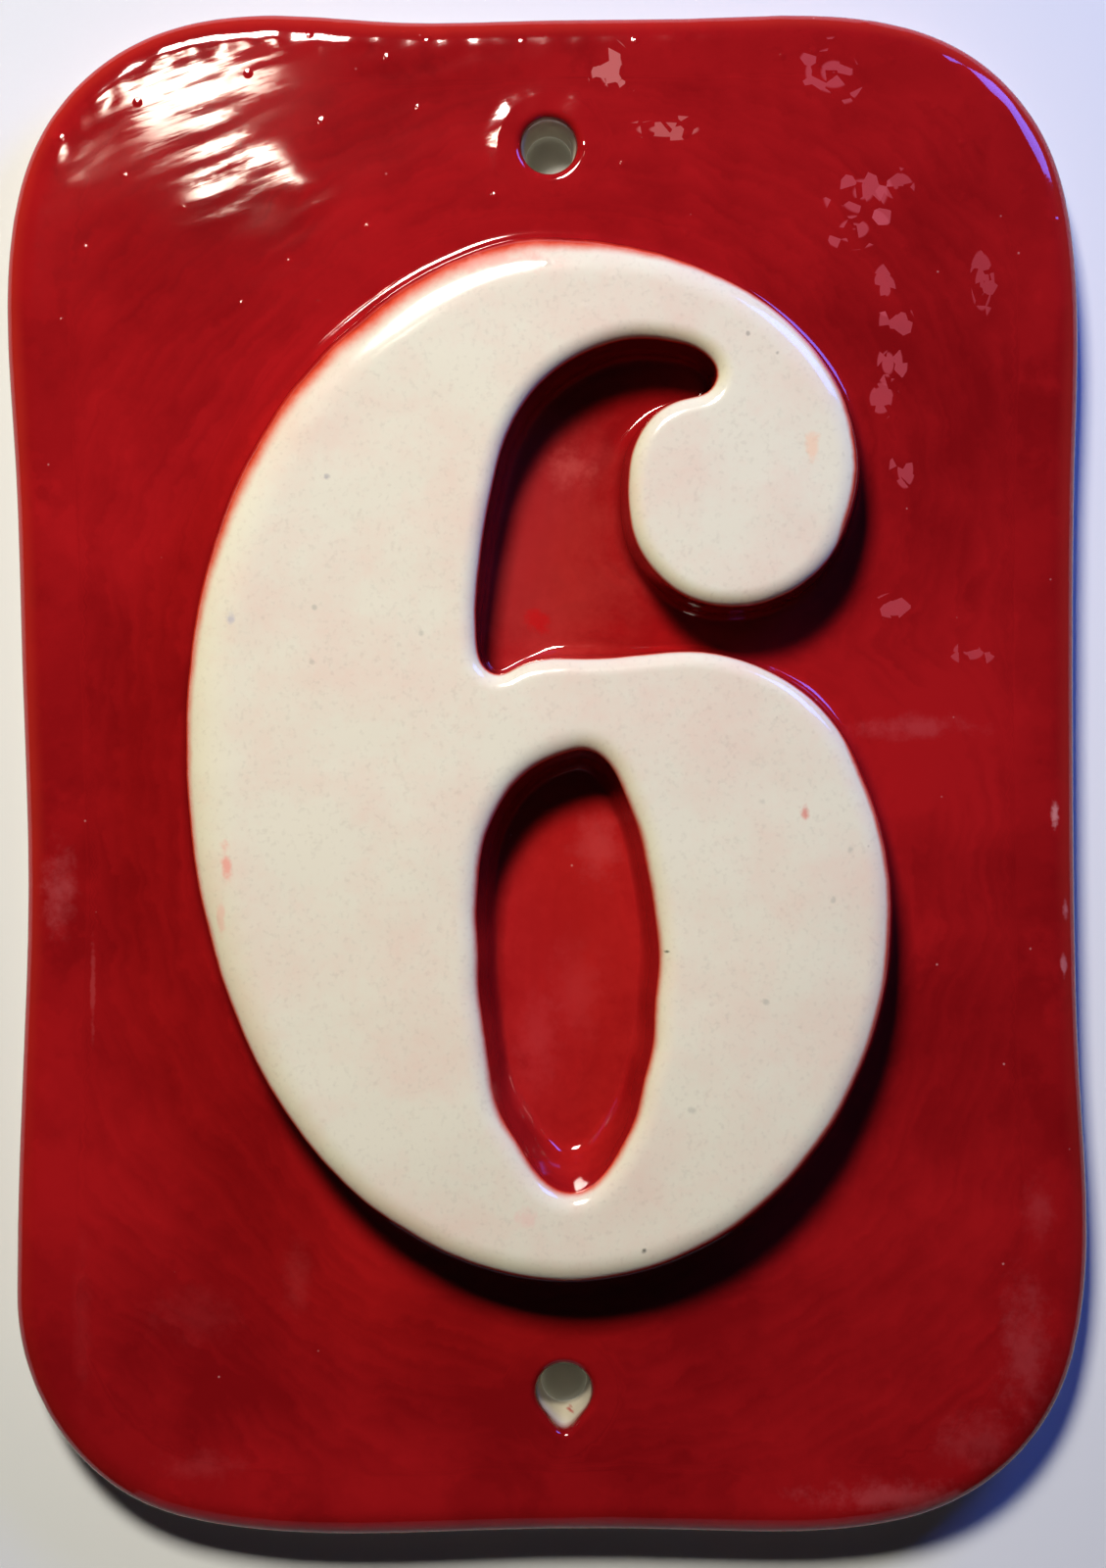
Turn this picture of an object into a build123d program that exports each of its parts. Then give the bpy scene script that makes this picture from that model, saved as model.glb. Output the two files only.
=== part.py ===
import os
from build123d import *

# House number plaque in hand-made glazed earthenware, in millimetres.
# It is upright as on its wall: +Z up, the front towards -Y and the back on the plane Y = 0.

# Numeral, as seen from the front
numeral_height = 100.0
numeral_width = 67.7
numeral_relief = 8.0
stem_width = 28.0          # heavy stroke on the left, from the back of the numeral to its counters
bowl_height = 60.1         # foot of the numeral to the top of its bowl
bowl_stroke = 22.4         # heavy stroke on the right of the bowl
bowl_top_stroke = 9.3      # thin stroke over the eye
foot_stroke = 8.5          # thin stroke under the eye
crown_stroke = 10.0        # thin stroke at the top
ball_width = 22.3          # ball that ends the top stroke
ball_gap = 4.2             # top of the bowl to the underside of the ball
ball_set_in = 3.1          # right side of the ball, in from the right side of the bowl
notch_reach = 2.2          # tip of the notch over the ball, beyond the ball's highest point
notch_rise = 2.3
notch_gap = 3.2            # tip of the notch to the stroke over it
stem_end_rise = 1.0        # lower end of the stem's right side, over the top of the bowl
corner_reach = 1.8         # tight turn of the knife where the stem meets the bowl
corner_drop = 3.1
waist_reach = 2.1          # where that turn runs out into the bowl, from its lowest point
waist_rise = 0.8
shoulder_reach = 8.4       # point on the top of the bowl, from the same place
shoulder_rise = 1.5

# Where the outline of the numeral is level, measured across from its left or right side
crown_from_left = 35.8
foot_from_left = 36.1
bowl_top_from_right = 18.3
ball_foot_from_right = 15.5
ball_top_from_right = 19.0
hook_from_right = 24.0

# Where the outline of the numeral is upright, measured up from its foot
back_up = 51.7
bowl_right_up = 35.5

# Where the ball and the eye are upright or level, as a share of their own height or width
ball_right_share = 0.733
ball_left_share = 0.569
eye_left_share = 0.678
eye_right_share = 0.511
eye_top_share = 0.538
eye_foot_share = 0.532

# Fullness of each turn at its start and end, as a share of its run (0.55 twice gives an ellipse)
even_turn = (0.55, 0.55)
crown_turn = (0.49, 0.51)
ball_right_turn = (0.65, 0.55)
ball_foot_turn = (0.31, 0.83)
ball_left_turn = (0.76, 0.31)
hook_turn = (0.73, 0.59)
bowl_right_turn = (0.58, 0.55)
foot_turn = (0.49, 0.63)
back_turn = (0.77, 0.29)
eye_top_turn = (0.37, 0.62)
eye_left_turn = (0.88, 0.34)
eye_foot_turn = (0.8, 0.15)
eye_right_turn = (0.12, 0.82)

# Slab around the numeral
slab_thickness = 7.0
margin_top = 23.5
margin_bottom = 26.5
margin_left = 18.6
margin_right = 20.1
corner_top_left = 23.4
corner_top_right = 23.6
corner_bottom_left = 23.4
corner_bottom_right = 24.0

# Hand-cut edges: how far each lies inside its straight line, at even steps between the corners
waver_left = (0.9, 1.4, 2.0, 1.4, 0.7, 0.1)       # bottom to top
waver_top = (0.1, 0.7, 0.5, 0.4, 0.3)             # left to right
waver_right = (1.1, 1.0, 1.2, 1.1, 0.5, 0.1)      # top to bottom
waver_bottom = (0.4, 0.3, 0.4, 0.0, 0.5)          # right to left

# Screw holes, punched through the wet clay
hole_diameter = 5.0
hole_mouth_round = 0.6
top_hole_inset = 13.3      # axis below the top of the slab
top_hole_shift = 0.25      # axis right of the middle of the slab
bottom_hole_inset = 14.3   # axis above the bottom of the slab
bottom_hole_shift = 1.75
lip_drop = 3.1             # drawn-out lower lip of the bottom hole, below its axis
lip_radius = 0.8
lip_depth = 5.0            # depth inside the hole at which the lip starts
lip_clearance = 0.2        # the lip is drawn from inside the wall of the hole

# Edges softened by hand and by the glaze
rim_round = 2.4
back_round = 0.6
numeral_round = 1.5
foot_fillet = 0.6
eye_fillet = 2.0
eye_tip_share = 0.6        # most that the fillet takes of the tight turn at each end of the eye

slab_height = margin_bottom + numeral_height + margin_top
slab_width = margin_left + numeral_width + margin_right
slab_right = slab_width / 2
slab_left = -slab_right
slab_top = slab_height / 2
slab_bottom = -slab_top
hole_radius = hole_diameter / 2
lip_start = hole_radius - lip_clearance

turn_steps = 3             # points taken along each turn


def turn(start, end, fullness, upright_first):
    # Points of a quarter turn, without its end: upright at one end of it and level at the other
    run = end - start
    level_run = Vector(run.X, 0)
    upright_run = Vector(0, run.Y)
    first_way = upright_run if upright_first else level_run
    last_way = level_run if upright_first else upright_run
    first_handle = start + first_way * fullness[0]
    last_handle = end - last_way * fullness[1]
    curve = Edge.make_bezier(start, first_handle, last_handle, end)
    return [curve @ (step / turn_steps) for step in range(turn_steps)]


def rising_turn(start, end, fullness=even_turn):
    return turn(start, end, fullness, upright_first=True)


def level_turn(start, end, fullness=even_turn):
    return turn(start, end, fullness, upright_first=False)


def cut_edge(start, end, inward, wavers):
    # Points of a nearly straight edge cut by hand, both ends included
    run = end - start
    steps = len(wavers) - 1
    return [start + run * (step / steps) + inward * waver for step, waver in enumerate(wavers)]


# Outline of the numeral, through the places where it is level or upright
left = slab_left + margin_left
right = left + numeral_width
foot = slab_bottom + margin_bottom
crown = foot + numeral_height
bowl_level = foot + bowl_height
hook_level = crown - crown_stroke
ball_bottom = bowl_level + ball_gap
ball_height = hook_level - notch_gap - notch_rise - ball_bottom

crown_point = Vector(left + crown_from_left, crown)
ball_right = Vector(right - ball_set_in, ball_bottom + ball_height * ball_right_share)
ball_foot = Vector(right - ball_foot_from_right, ball_bottom)
ball_left = Vector(right - ball_set_in - ball_width, ball_bottom + ball_height * ball_left_share)
ball_top = Vector(right - ball_top_from_right, ball_bottom + ball_height)
notch_tip = ball_top + Vector(notch_reach, notch_rise)
hook_under = Vector(right - hook_from_right, hook_level)
stem_end = Vector(left + stem_width, bowl_level + stem_end_rise)
inner_corner = stem_end + Vector(corner_reach, -corner_drop)
waist = inner_corner + Vector(waist_reach, waist_rise)
shoulder = inner_corner + Vector(shoulder_reach, shoulder_rise)
bowl_top = Vector(right - bowl_top_from_right, bowl_level)
bowl_right = Vector(right, foot + bowl_right_up)
foot_point = Vector(left + foot_from_left, foot)
back_point = Vector(left, foot + back_up)

numeral_outline = [
    *level_turn(crown_point, ball_right, crown_turn),
    *rising_turn(ball_right, ball_foot, ball_right_turn),
    *level_turn(ball_foot, ball_left, ball_foot_turn),
    *rising_turn(ball_left, ball_top, ball_left_turn),
    *level_turn(ball_top, notch_tip),
    *rising_turn(notch_tip, hook_under),
    *level_turn(hook_under, stem_end, hook_turn),
    *rising_turn(stem_end, inner_corner),
    inner_corner,
    waist,
    shoulder,
    *level_turn(bowl_top, bowl_right),
    *rising_turn(bowl_right, foot_point, bowl_right_turn),
    *level_turn(foot_point, back_point, foot_turn),
    *rising_turn(back_point, crown_point, back_turn),
]

eye_side = left + stem_width
eye_bottom = foot + foot_stroke
eye_width = right - bowl_stroke - eye_side
eye_height = bowl_level - bowl_top_stroke - eye_bottom
eye_tip_radius = eye_width**2 / eye_height / 2

eye_top = Vector(eye_side + eye_width * eye_top_share, eye_bottom + eye_height)
eye_left = Vector(eye_side, eye_bottom + eye_height * eye_left_share)
eye_foot = Vector(eye_side + eye_width * eye_foot_share, eye_bottom)
eye_right = Vector(eye_side + eye_width, eye_bottom + eye_height * eye_right_share)

eye_outline = [
    *level_turn(eye_top, eye_left, eye_top_turn),
    *rising_turn(eye_left, eye_foot, eye_left_turn),
    *level_turn(eye_foot, eye_right, eye_foot_turn),
    *rising_turn(eye_right, eye_top, eye_right_turn),
]

# Outline of the slab: four cut edges, joined by a quarter turn at each corner
left_edge = cut_edge(
    Vector(slab_left, slab_bottom + corner_bottom_left),
    Vector(slab_left, slab_top - corner_top_left),
    Vector(1, 0),
    waver_left,
)
top_edge = cut_edge(
    Vector(slab_left + corner_top_left, slab_top),
    Vector(slab_right - corner_top_right, slab_top),
    Vector(0, -1),
    waver_top,
)
right_edge = cut_edge(
    Vector(slab_right, slab_top - corner_top_right),
    Vector(slab_right, slab_bottom + corner_bottom_right),
    Vector(-1, 0),
    waver_right,
)
bottom_edge = cut_edge(
    Vector(slab_right - corner_bottom_right, slab_bottom),
    Vector(slab_left + corner_bottom_left, slab_bottom),
    Vector(0, 1),
    waver_bottom,
)
slab_outline = [
    *left_edge[:-1],
    *rising_turn(left_edge[-1], top_edge[0]),
    *top_edge[:-1],
    *level_turn(top_edge[-1], right_edge[0]),
    *right_edge[:-1],
    *rising_turn(right_edge[-1], bottom_edge[0]),
    *bottom_edge[:-1],
    *level_turn(bottom_edge[-1], left_edge[0]),
]

top_hole = (top_hole_shift, slab_top - top_hole_inset)
bottom_hole = (bottom_hole_shift, slab_bottom + bottom_hole_inset)
lip = (bottom_hole_shift, bottom_hole[1] - lip_drop)
slab_front = Plane.XZ.offset(slab_thickness)
lip_root = Plane.XZ.offset(slab_thickness - lip_depth)

with BuildPart() as plaque:
    # Slab with its rolled front rim
    with BuildSketch(Plane.XZ):
        with BuildLine():
            Spline(*slab_outline, periodic=True)
        make_face()
    extrude(amount=slab_thickness)
    fillet(plaque.faces().sort_by(Axis.Y)[0].edges(), rim_round)
    fillet(plaque.faces().sort_by(Axis.Y)[-1].edges(), back_round)

    # Screw holes, the bottom one with its lip drawn out downwards
    with BuildSketch(Plane.XZ):
        with Locations(top_hole, bottom_hole):
            Circle(hole_radius)
    extrude(amount=slab_thickness, mode=Mode.SUBTRACT)
    mouths = plaque.faces().sort_by(Axis.Y)[0].inner_wires()
    fillet([mouth.edge() for mouth in mouths], hole_mouth_round)
    with BuildSketch(slab_front):
        with Locations(bottom_hole):
            Circle(lip_start)
        with Locations(lip):
            Circle(lip_radius)
        make_hull()
    with BuildSketch(lip_root):
        with Locations(bottom_hole):
            Circle(lip_start)
    loft(mode=Mode.SUBTRACT)

    # Numeral, raised from the slab
    with BuildSketch(slab_front):
        with BuildLine():
            Spline(*numeral_outline, periodic=True)
        make_face()
        with BuildLine():
            Spline(*eye_outline, periodic=True)
        make_face(mode=Mode.SUBTRACT)
    extrude(amount=numeral_relief)
    fillet(plaque.faces().sort_by(Axis.Y)[0].edges(), numeral_round)

    # Glaze gathered at the foot of the numeral, deepest round the eye
    at_slab_front = plaque.faces().filter_by(GeomType.PLANE).group_by(Axis.Y)[1]
    eye_floor = at_slab_front.sort_by(SortBy.AREA)[0]
    fillet(eye_floor.edges(), min(eye_fillet, eye_tip_radius * eye_tip_share))
    slab_face = plaque.faces().filter_by(GeomType.PLANE).sort_by(SortBy.AREA)[-2]
    numeral_foot = slab_face.inner_wires().sort_by(SortBy.LENGTH)[-1]
    fillet(numeral_foot.edges(), foot_fillet)

plaque.part.label = "plaque"

os.makedirs("parts", exist_ok=True)
export_step(plaque.part, "parts/plaque.step")
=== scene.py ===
import bpy
import numpy as np
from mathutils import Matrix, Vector
from mathutils.geometry import delaunay_2d_cdt


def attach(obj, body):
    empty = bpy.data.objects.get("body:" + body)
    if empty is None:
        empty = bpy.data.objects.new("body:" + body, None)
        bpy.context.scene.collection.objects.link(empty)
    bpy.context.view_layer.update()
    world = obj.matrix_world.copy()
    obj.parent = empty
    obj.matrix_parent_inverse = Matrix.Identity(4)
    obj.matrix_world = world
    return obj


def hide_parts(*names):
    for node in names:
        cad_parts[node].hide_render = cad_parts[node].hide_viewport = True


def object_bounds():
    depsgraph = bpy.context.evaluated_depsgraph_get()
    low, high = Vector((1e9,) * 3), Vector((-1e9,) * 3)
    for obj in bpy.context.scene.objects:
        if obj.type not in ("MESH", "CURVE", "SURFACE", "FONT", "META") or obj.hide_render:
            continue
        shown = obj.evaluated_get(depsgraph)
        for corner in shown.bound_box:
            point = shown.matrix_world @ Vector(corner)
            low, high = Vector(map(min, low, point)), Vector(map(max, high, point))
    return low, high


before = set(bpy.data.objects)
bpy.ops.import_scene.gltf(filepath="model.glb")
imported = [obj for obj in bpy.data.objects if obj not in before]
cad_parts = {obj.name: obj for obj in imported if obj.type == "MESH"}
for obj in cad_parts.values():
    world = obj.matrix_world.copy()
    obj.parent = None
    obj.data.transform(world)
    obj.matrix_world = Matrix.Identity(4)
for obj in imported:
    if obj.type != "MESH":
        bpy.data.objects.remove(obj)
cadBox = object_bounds()

mm = 0.001            # the frame is in metres, the shapes below are worked out in millimetres
turn = 2 * np.pi
farOff = 30.0         # mm, written for a distance where nothing is near
tiny = 1e-9           # keeps divisions from zero

# how the CAD outlines are followed
tracing = {
    "fineStep": 0.05,       # mm
    "aheadBy": 1e-6,        # least height above the tangent that counts
    "mostRoom": 20.0,       # where nothing stands opposite
    "leastRoom": 0.05,
    "roomBlur": 3,          # steps
}


# CAD triangles in millimetres: equal corner points share one number
def cadTriangles(mesh):
    mesh.calc_loop_triangles()
    places = np.empty(len(mesh.vertices) * 3)
    mesh.vertices.foreach_get("co", places)
    corners = np.empty(len(mesh.loop_triangles) * 3, dtype=np.int32)
    mesh.loop_triangles.foreach_get("vertices", corners)
    places, number = np.unique((places.reshape(-1, 3) / mm).round(4), axis=0, return_inverse=True)
    return places, number.reshape(-1)[corners].reshape(-1, 3)


# closed lines where the triangles cross the plane y = level: each crossing triangle leads to the one
# that shares the edge by which the line leaves it, and a chain is doubled until it meets its start
def sliceLoops(places, triangles, level):
    behind = places[triangles, 1] > level
    crossing = behind.any(1) & ~behind.all(1)
    corner, behind = triangles[crossing], behind[crossing]
    following = np.roll(corner, -1, axis=1)
    ahead = np.roll(behind, -1, axis=1)
    goingIn, goingOut = behind & ~ahead, ~behind & ahead
    a, b = corner[goingIn], following[goingIn]
    c, d = corner[goingOut], following[goingOut]
    entry = np.minimum(a, b) * len(places) + np.maximum(a, b)
    leave = np.minimum(c, d) * len(places) + np.maximum(c, d)
    order = np.argsort(entry)
    onward = order[np.searchsorted(entry[order], leave)]
    share = (level - places[a, 1]) / (places[b, 1] - places[a, 1])
    crossed = (places[a] + share[:, None] * (places[b] - places[a]))[:, [0, 2]]
    left = np.ones(len(crossed), dtype=bool)
    loops = []
    while left.any():
        start = np.flatnonzero(left)[0]
        chain, jump = np.array([start]), onward
        while not (jump[chain] == start).any():
            chain, jump = np.concatenate([chain, jump[chain]]), jump[jump]
        chain = np.concatenate([chain, jump[chain]])
        chain = chain[:np.flatnonzero(chain[1:] == start)[0] + 1]
        left[chain] = False
        loops.append(crossed[chain])
    return sorted(loops, key=loopLength, reverse=True)


# length of a closed line: the sum of its steps
def loopLength(loop):
    return np.linalg.norm(np.roll(loop, -1, axis=0) - loop, axis=1).sum()


# the same closed line at even steps along it
def evenSteps(loop, count):
    closed = np.vstack([loop, loop[:1]])
    along = np.concatenate([[0], np.linalg.norm(np.diff(closed, axis=0), axis=1).cumsum()])
    at = np.linspace(0, along[-1], count, endpoint=False)
    return np.column_stack([np.interp(at, along, closed[:, k]) for k in (0, 1)])


# closed values blurred along their line by a Gaussian, width in steps
def blurAlong(values, width):
    wave = np.fft.rfftfreq(len(values))
    fade = np.exp(-2 * (np.pi * width * wave) ** 2)
    fade = fade.reshape((-1,) + (1,) * (values.ndim - 1))
    return np.fft.irfft(np.fft.rfft(values, axis=0) * fade, n=len(values), axis=0)


# a CAD outline without its facets, anticlockwise from the front, and its outward normals
def smoothOutline(loop, step, blur):
    fine = evenSteps(loop, int(loopLength(loop) / tracing["fineStep"]))
    fine = blurAlong(fine, blur / tracing["fineStep"])
    outline = evenSteps(fine, int(loopLength(fine) / step))
    x, z = outline.T
    if (x * np.roll(z, -1) - z * np.roll(x, -1)).sum() < 0:
        outline = outline[::-1]
    along = np.roll(outline, -1, axis=0) - np.roll(outline, 1, axis=0)
    along /= np.linalg.norm(along, axis=1)[:, None]
    return outline, np.column_stack([along[:, 1], -along[:, 0]])


# radius of the largest circle that touches the outline from the side of its normal, at each point:
# the squared distance to each other point over twice its height above the tangent
def roomBeside(outline, normal):
    blur = tracing["roomBlur"]
    gap = outline[None] - outline[:, None]
    ahead = (gap * normal[:, None]).sum(2)
    touching = (gap ** 2).sum(2) / np.maximum(2 * ahead, tiny)
    room = np.where(ahead > tracing["aheadBy"], touching, tracing["mostRoom"]).min(1)
    nearby = np.stack([np.roll(room, k) for k in range(-2 * blur, 2 * blur + 1)]).min(0)
    return np.maximum(blurAlong(nearby, blur), tracing["leastRoom"])


# sum of sine waves of random length, heading and phase, about -1 to 1
def ripples(x, z, seed, count, lengths, heading=0, spread=180):
    dice = np.random.default_rng(seed)
    length = np.exp(dice.uniform(np.log(lengths[0]), np.log(lengths[1]), count))
    angle = np.radians(heading + dice.uniform(-spread, spread, count))
    phase = dice.uniform(0, turn, count)
    across = np.multiply.outer(x, np.cos(angle)) + np.multiply.outer(z, np.sin(angle))
    return np.sin(across * turn / length + phase).sum(-1) / np.sqrt(2 * count)


# 0 at the first limit and before it, 1 at the second and past it, an S between them
def smoothStep(value, first, second):
    share = np.clip((value - first) / (second - first), 0, 1)
    return share * share * (3 - 2 * share)


# points of a quadratic curve from start to end, drawn towards a corner
def bend(start, corner, end, count):
    t = np.linspace(0, 1, count)[:, None]
    return (1 - t) ** 2 * np.array(start) + 2 * t * (1 - t) * np.array(corner) + t ** 2 * np.array(end)


class Skin:
    # gathers the patches of one closed surface: places in mm and a few values carried by each point
    fields = ("inset", "rim", "bare", "front")

    def __init__(self):
        self.places, self.faces, self.count = [], [], 0
        self.values = {name: [] for name in self.fields}

    # adds points and gives back their numbers
    def points(self, places, **values):
        shape = places.shape[:-1]
        self.places.append(places.reshape(-1, 3))
        for name in self.fields:
            self.values[name].append(np.broadcast_to(values[name], shape).reshape(-1))
        first = self.count
        self.count += len(self.places[-1])
        return np.arange(first, self.count).reshape(shape)

    # a closed strip of quads: rows run outwards, columns anticlockwise
    def strip(self, rows):
        ahead = np.roll(rows, -1, axis=1)
        quads = np.stack([rows[:-1], rows[1:], ahead[1:], ahead[:-1]], axis=-1)
        self.faces.append(quads.reshape(-1, 4))

    # triangles between points that are there already
    def triangles(self, corners):
        self.faces.append(corners)


skin = Skin()

# outlines, read from the CAD surface half-way up each wall
levels = {"numeral": -10.2, "slab": -2.6, "holes": -1.3}
places, triangles = cadTriangles(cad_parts["plaque"].data)
numeralLoop, eyeLoop = sliceLoops(places, triangles, levels["numeral"])[:2]
slabLoop = sliceLoops(places, triangles, levels["slab"])[0]
holeLoops = sorted(sliceLoops(places, triangles, levels["holes"])[1:], key=lambda loop: loop[:, 1].mean())
low, high = (np.array(corner) / mm for corner in cadBox)
slabFront = -7.0            # the back lies at 0
numeralFront = low[1]
print("outlines", [round(loopLength(loop), 1) for loop in (numeralLoop, eyeLoop, slabLoop, *holeLoops)])

numeral = {
    "step": 0.45,           # along the outline
    "blur": 0.35,
    "roundWidth": 5.0,      # soft edge of the face, on the open sides
    "roundDrop": 2.4,
    "counterRound": 0.36,   # share of that width left beside the counters, which the knife cut crisper
    "counterRoom": (7.0, 16.0),
    "lowerRound": 0.5,      # and on the lower right sides
    "lowerDrop": 0.65,      # share of the drop left there
    "upperLeft": (-0.6, 0.8),
    "upperLeftFade": (-0.3, 0.7),
    "crispBlur": 8,         # steps
    "insideShare": 0.8,     # of the room that the profile may take, on each side of the outline
    "outsideShare": 0.75,
    "paintLevel": 0.8,      # share of the drop where the cream ends
    "bleed": 0.75,          # the red creeps in over the edge
    "rightSide": (0.95, -0.31),
    "rightBleed": 1.1,      # more of it on the right, where the rounding is narrow
    "crownSide": (-0.4, 0.92),
    "crownBleed": 0.5,      # and farther over the crown, where it thins out slowly
    "crownFade": 0.42,
    "sideFade": (0.3, 0.95),
    "waver": 0.06,          # hand-cut line
    "waverWaves": (31, 16),   # seed and count
    "waverLength": (6, 18),
    "lean": 7.0,            # degrees that the wall leans out
    "fillet": 1.3,          # glaze gathered at the foot
    "skirt": 1.4,           # strip of slab that follows the outline
    "rows": (16, 8, 9, 4),    # edge, wall, foot, skirt
}


# profile of the numeral's edge as (outward, drop): quarter ellipse, leaning wall, hollow at the foot
def edgeProfile(shape, height):
    width, drop = shape["roundWidth"], shape["roundDrop"]
    steep = np.radians(90 - shape["lean"])
    last = np.arctan(np.tan(steep) * width / drop)
    angle = np.linspace(0, last, shape["rows"][0])
    edge = np.column_stack([width * (np.sin(angle) - 1), drop * (1 - np.cos(angle))])
    lean = np.tan(np.radians(shape["lean"]))
    corner = edge[-1] + np.array([(height - edge[-1, 1]) * lean, height - edge[-1, 1]])
    top = corner - shape["fillet"] * np.array([lean, 1])
    wall = np.linspace(edge[-1], top, shape["rows"][1] + 1)[1:]
    foot = bend(top, corner, corner + [shape["fillet"], 0], shape["rows"][2])[1:]
    skirt = foot[-1] + np.outer(np.linspace(0, 1, shape["rows"][3] + 1)[1:], [shape["skirt"], 0])
    return np.vstack([edge, wall, foot, skirt])


# the edge profile carried along the outline: its rounding is wide at the upper left, narrow below and in
# the counters, and its inset is the way up the profile from the cream's end, less what the red creeps in
def numeralEdge(skin):
    outline, normal = smoothOutline(numeralLoop, numeral["step"], numeral["blur"])
    waver = numeral["waver"] * ripples(*outline.T, *numeral["waverWaves"], numeral["waverLength"])
    height = slabFront - numeralFront
    profile = edgeProfile(numeral, height)
    outward, drop = profile[:, 0], profile[:, 1]
    openSide = roomBeside(outline, normal)
    facing = smoothStep(normal @ np.array(numeral["upperLeft"]), *numeral["upperLeftFade"])
    crisp = numeral["lowerRound"] + (1 - numeral["lowerRound"]) * facing
    counter = smoothStep(openSide, *numeral["counterRoom"])
    crisp = np.minimum(crisp, numeral["counterRound"] + (1 - numeral["counterRound"]) * counter)
    crisp = blurAlong(crisp, numeral["crispBlur"])
    shallow = numeral["lowerDrop"] + (1 - numeral["lowerDrop"]) * facing * counter
    shallow = blurAlong(shallow, numeral["crispBlur"])
    insideRoom = np.minimum(crisp, numeral["insideShare"] * roomBeside(outline, -normal) / -outward.min())
    outsideRoom = np.minimum(1, numeral["outsideShare"] * openSide / outward.max())
    reach = outward[:, None] * np.where(outward[:, None] < 0, insideRoom, outsideRoom)
    flat = outline + (reach + waver)[..., None] * normal
    edgeDrop = drop[numeral["rows"][0] - 1]
    overEdge = np.minimum(drop, edgeDrop)[:, None] * shallow
    below = np.maximum(drop - edgeDrop, 0)[:, None] * (height - edgeDrop * shallow) / (height - edgeDrop)
    depth = numeralFront + overEdge + below
    along = np.concatenate([[0], np.hypot(np.diff(outward), np.diff(drop)).cumsum()])
    inset = along[np.argmax(drop >= numeral["roundDrop"] * numeral["paintLevel"])] - along
    grid = np.stack([flat[..., 0], depth, flat[..., 1]], axis=-1)
    crown = counter * smoothStep(normal @ np.array(numeral["crownSide"]), *numeral["sideFade"])
    right = counter * smoothStep(normal @ np.array(numeral["rightSide"]), *numeral["sideFade"])
    bled = inset[:, None] * (1 - numeral["crownFade"] * crown)
    bled -= numeral["bleed"] + numeral["rightBleed"] * right + numeral["crownBleed"] * crown
    rows = skin.points(grid, inset=bled, rim=farOff, bare=0.0, front=1.0)
    skin.strip(rows)
    return rows


eye = {
    "step": 0.4,
    "blur": 0.35,
    "roundWidth": 2.2,
    "roundDrop": 1.5,
    "floorScale": (0.80, 0.85),   # floor against mouth, across and up
    "floorRise": 1.0,             # the floor's middle lies higher: the lower wall slopes most
    "wallBend": 0.38,             # where the wall turns up from the floor, as a share of the way in
    "waver": 0.14,
    "waverWaves": (33, 16),
    "waverLength": (6, 15),
    "paintRow": 2,                # rows of the mouth's rounding that stay red
    "rows": (10, 22),             # mouth, wall
}


# the eye's wall runs from the floor, a smaller copy of its mouth, out to the numeral's face
def eyeEdge(skin):
    outline, normal = smoothOutline(eyeLoop, eye["step"], eye["blur"])
    waver = eye["waver"] * ripples(*outline.T, *eye["waverWaves"], eye["waverLength"])
    outline = outline + waver[:, None] * normal
    middle = (outline.min(0) + outline.max(0)) / 2
    floor = middle + (outline - middle) * eye["floorScale"] + [0, eye["floorRise"]]
    height = slabFront - numeralFront
    wall = bend((1, height), (eye["wallBend"], height), (0, eye["roundDrop"]), eye["rows"][1])
    angle = np.linspace(np.pi / 2, 0, eye["rows"][0])[1:]
    outward = eye["roundWidth"] * (1 - np.sin(angle))
    drop = np.concatenate([wall[:, 1], eye["roundDrop"] * (1 - np.cos(angle))])
    inner = outline + wall[:, 0][:, None, None] * (floor - outline)
    outer = outline + outward[:, None, None] * normal
    flat = np.concatenate([inner, outer])
    depth = np.broadcast_to((numeralFront + drop)[:, None], flat.shape[:2])
    grid = np.stack([flat[..., 0], depth, flat[..., 1]], axis=-1)
    gone = np.linalg.norm(np.diff(grid, axis=0), axis=2).cumsum(0)
    along = np.vstack([np.zeros(len(outline)), gone])
    inset = along - along[len(wall) + eye["paintRow"]]
    rows = skin.points(grid, inset=inset, rim=farOff, bare=0.0, front=1.0)
    skin.strip(rows)
    return rows


slab = {
    "step": 0.6,
    "blur": 0.5,
    "band": 6.0,            # strip of the front that follows the edge
    "rimWidth": 2.9,        # rolled front rim
    "rimDrop": 2.1,
    "backRound": 0.7,
    "backBand": 2.0,
    "bareFade": 1.0,        # over which the glaze ends at the back round
    "rows": (8, 14, 9, 7, 3),   # band, rim, side, back round, back band
}


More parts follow.
